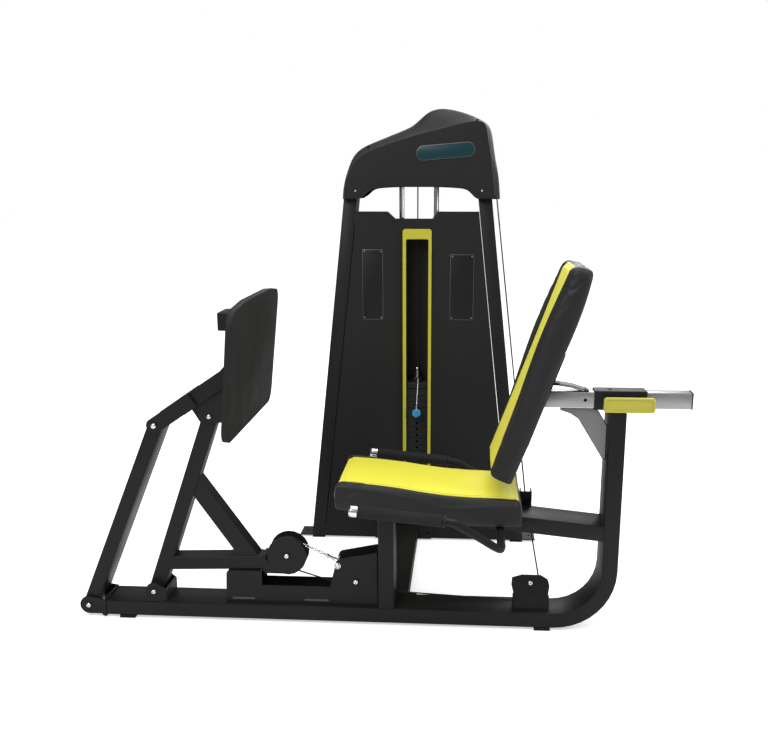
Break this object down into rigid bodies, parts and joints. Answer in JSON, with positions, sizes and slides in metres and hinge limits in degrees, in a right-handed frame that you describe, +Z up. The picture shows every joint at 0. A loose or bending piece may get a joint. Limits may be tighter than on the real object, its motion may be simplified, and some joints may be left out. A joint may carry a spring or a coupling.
{
  "type": "leg press machine",
  "caption": "Seated leg press with a foot plate on a four-bar linkage, a reclining sliding backrest and a side tower with a pin-selected weight stack.",
  "frame": {"origin": "middle of the footprint on the floor", "axes": "+X along the floor rail from the foot plate to the rear upright, +Y from the rail to the weight tower, +Z up"},
  "size_m": [1.9539, 1.157, 1.67],
  "materials": {
    "powder_black": "satin",
    "link_black": "satin",
    "shroud_black": "satin",
    "footplate_black": "matte",
    "bolt_chrome": "polished",
    "rod_chrome": "polished",
    "zinc": "satin",
    "tube_silver": "satin",
    "pulley_black": "satin",
    "cable_black": "satin",
    "cap_black": "matte",
    "trim_olive": "satin",
    "stack_iron": "satin",
    "black_rubber": "matte",
    "grip_foam": "matte",
    "upholstery_yellow": "satin",
    "lever_yellow": "satin",
    "pin_blue": "satin",
    "plug_black": "matte"
  },
  "bodies": {
    "frame": {"main_frame": "powder_black", "rear_link_bracket": "powder_black", "swing_arm_bracket": "powder_black", "tower_tie": "powder_black", "cable_housing": "powder_black", "floor_pulley_housing": "powder_black", "cable_guide_bracket": "powder_black", "tower_frame": "powder_black", "handle_left": "powder_black", "handle_right": "powder_black", "backrest_sleeve": "powder_black", "rail_foot_front": "black_rubber", "rail_foot_rear": "black_rubber", "tower_foot_left": "black_rubber", "tower_foot_right": "black_rubber", "stack_bumper": "black_rubber", "rear_link_bolt": "bolt_chrome", "swing_arm_bolt": "bolt_chrome", "housing_pulley_bolt": "bolt_chrome", "floor_pulley_bolt": "bolt_chrome", "cable_anchor": "bolt_chrome", "handle_cap_left": "bolt_chrome", "handle_cap_right": "bolt_chrome", "press_cable": "cable_black", "tower_cable": "cable_black", "cable_adjuster": "zinc", "front_shroud": "shroud_black", "rear_shroud": "shroud_black", "slot_trim": "trim_olive", "cap_front": "cap_black", "cap_rear": "cap_black", "guide_rod_left": "rod_chrome", "guide_rod_right": "rod_chrome", "resting_plates": "stack_iron", "seat_cushion": "upholstery_yellow", "grip_left": "grip_foam", "grip_right": "grip_foam"},
    "press_arm": {"swing_arm": "link_black", "swing_top_bolt": "bolt_chrome", "arm_pulley_bolt": "bolt_chrome"},
    "rear_strut": {"rear_link": "link_black", "carriage_bolt": "bolt_chrome"},
    "foot_unit": {"foot_carriage": "link_black", "footplate": "footplate_black"},
    "arm_wheel": {"arm_pulley": "pulley_black"},
    "housing_wheel": {"housing_pulley": "pulley_black"},
    "floor_wheel": {"floor_pulley": "pulley_black"},
    "inner_wheel": {"top_pulley_inner": "pulley_black"},
    "outer_wheel": {"top_pulley_outer": "pulley_black"},
    "stack": {"header_plate": "stack_iron", "lifted_plates": "stack_iron", "selector_stem": "rod_chrome", "stack_cable": "cable_black"},
    "weight_pin": {"selector_pin": "pin_blue"},
    "backrest": {"back_cushion": "upholstery_yellow", "backrest_mount": "powder_black", "backrest_tube": "tube_silver", "tube_end_cap": "plug_black"},
    "lever": {"lock_lever": "lever_yellow"},
    "plunger": {"lock_pin": "zinc"}
  },
  "joints": [
    {"name": "press", "type": "hinge", "parent": "frame", "child": "press_arm", "pos_m": [-0.725, -0.2636, 0.096], "axis": [0, -1, 0], "range_deg": [0, 35], "deforming": ["press_cable"]},
    {"name": "rear_strut_turn", "type": "hinge", "parent": "frame", "child": "rear_strut", "pos_m": [-0.947, -0.2636, 0.043], "axis": [0, -1, 0], "range_deg": [0, 33.4]},
    {"name": "foot_unit_turn", "type": "hinge", "parent": "press_arm", "child": "foot_unit", "pos_m": [-0.513, -0.2636, 0.69], "axis": [0, -1, 0], "range_deg": [-44.1, 0]},
    {"name": "arm_wheel_turn", "type": "hinge", "parent": "press_arm", "child": "arm_wheel", "pos_m": [-0.2845, -0.2636, 0.2223], "axis": [0, 1, 0], "range_deg": [0, 316]},
    {"name": "housing_wheel_turn", "type": "hinge", "parent": "frame", "child": "housing_wheel", "pos_m": [-0.058, -0.2636, 0.143], "axis": [0, 1, 0], "range_deg": [0, 668]},
    {"name": "floor_wheel_turn", "type": "hinge", "parent": "frame", "child": "floor_wheel", "pos_m": [0.508, -0.25985, 0.11], "axis": [0, 0.9511, -0.309], "range_deg": [0, 813]},
    {"name": "inner_wheel_turn", "type": "hinge", "parent": "frame", "child": "inner_wheel", "pos_m": [0.137, 0.4844, 1.445], "axis": [0, 1, 0], "range_deg": [0, 701]},
    {"name": "outer_wheel_turn", "type": "hinge", "parent": "frame", "child": "outer_wheel", "pos_m": [0.34, 0.4635, 1.45089], "axis": [0, 0.8526, -0.5225], "range_deg": [0, 701]},
    {"name": "stack_lift", "type": "slide", "parent": "frame", "child": "stack", "axis": [0, 0, 1], "range_m": [0, 0.49], "deforming": ["stack_cable"]},
    {"name": "weight_pin_pull", "type": "slide", "parent": "stack", "child": "weight_pin", "axis": [0, -1, 0], "range_m": [0, 0.06]},
    {"name": "backrest_slide", "type": "slide", "parent": "frame", "child": "backrest", "axis": [1, 0, 0], "range_m": [-0.1, 0.01]},
    {"name": "lever_pull", "type": "hinge", "parent": "frame", "child": "lever", "pos_m": [0.842, -0.2982, 0.75], "axis": [0, 0, 1], "range_deg": [0, 10]},
    {"name": "plunger_out", "type": "slide", "parent": "frame", "child": "plunger", "axis": [0, -1, 0], "range_m": [0, 0.0155]}
  ],
  "couplings": [
    {"joint": "rear_strut_turn", "follows": "press", "ratio": 0.9518},
    {"joint": "foot_unit_turn", "follows": "press", "ratio": -1.257},
    {"joint": "arm_wheel_turn", "follows": "press", "ratio": 9},
    {"joint": "housing_wheel_turn", "follows": "press", "ratio": 19.048},
    {"joint": "floor_wheel_turn", "follows": "press", "ratio": 23.188},
    {"joint": "inner_wheel_turn", "follows": "press", "ratio": 20},
    {"joint": "outer_wheel_turn", "follows": "press", "ratio": 20},
    {"joint": "stack_lift", "follows": "press", "m_per_rad": 0.8},
    {"joint": "plunger_out", "follows": "lever_pull", "m_per_rad": 0.0885}
  ]
}
